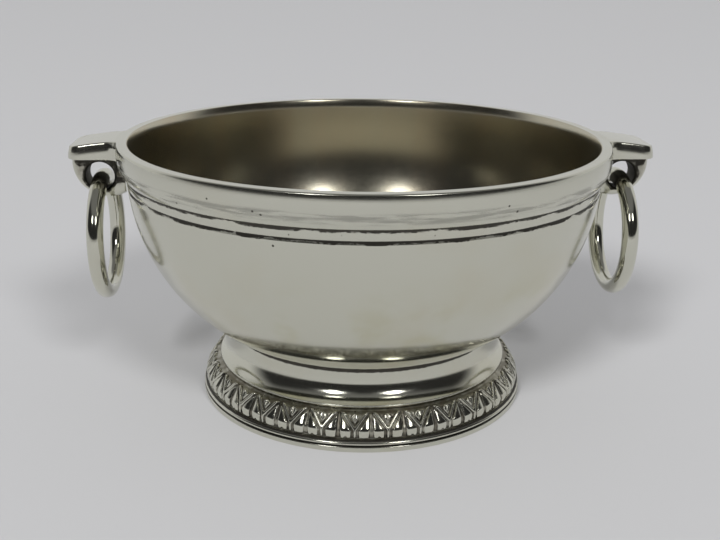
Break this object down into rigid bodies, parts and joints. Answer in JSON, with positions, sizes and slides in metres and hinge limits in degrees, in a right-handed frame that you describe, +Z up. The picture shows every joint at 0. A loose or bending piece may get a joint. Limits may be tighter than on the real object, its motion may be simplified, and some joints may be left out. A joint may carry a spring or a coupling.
{
  "type": "pewter porringer",
  "caption": "Footed pewter bowl with a turned collar, a leaf border round its foot, and pierced lugs that carry swinging ring handles.",
  "frame": {"origin": "centre of the foot's resting face, on the bowl's axis", "axes": "+X through the lugs towards the right lug, +Z up along the bowl's axis, +Y to the back"},
  "size_m": [0.1488, 0.125, 0.068],
  "materials": {
    "bowl_pewter": "polished to satin, with dark grooves",
    "foot_pewter": "polished, with a dark crevice at the neck",
    "border_pewter": "polished leaves with dark recesses",
    "lug_pewter": "satin casting, worn smooth",
    "ring_pewter": "polished",
    "solder": "dull and rough"
  },
  "bodies": {
    "vessel": {"bowl": "bowl_pewter", "foot": "foot_pewter", "foot_solder": "solder", "leaf_border": "border_pewter", "left_lug": "lug_pewter", "right_lug": "lug_pewter", "left_lug_solder": "solder", "right_lug_solder": "solder"},
    "left_ring": {"left_ring": "ring_pewter"},
    "right_ring": {"right_ring": "ring_pewter"}
  },
  "joints": [
    {"name": "left_ring_swing", "type": "hinge", "parent": "vessel", "child": "left_ring", "pos_m": [-0.0672, 0, 0.0571], "axis": [0, 1, 0], "range_deg": [-28, 200]},
    {"name": "right_ring_swing", "type": "hinge", "parent": "vessel", "child": "right_ring", "pos_m": [0.0672, 0, 0.0571], "axis": [0, -1, 0], "range_deg": [-28, 200]}
  ]
}
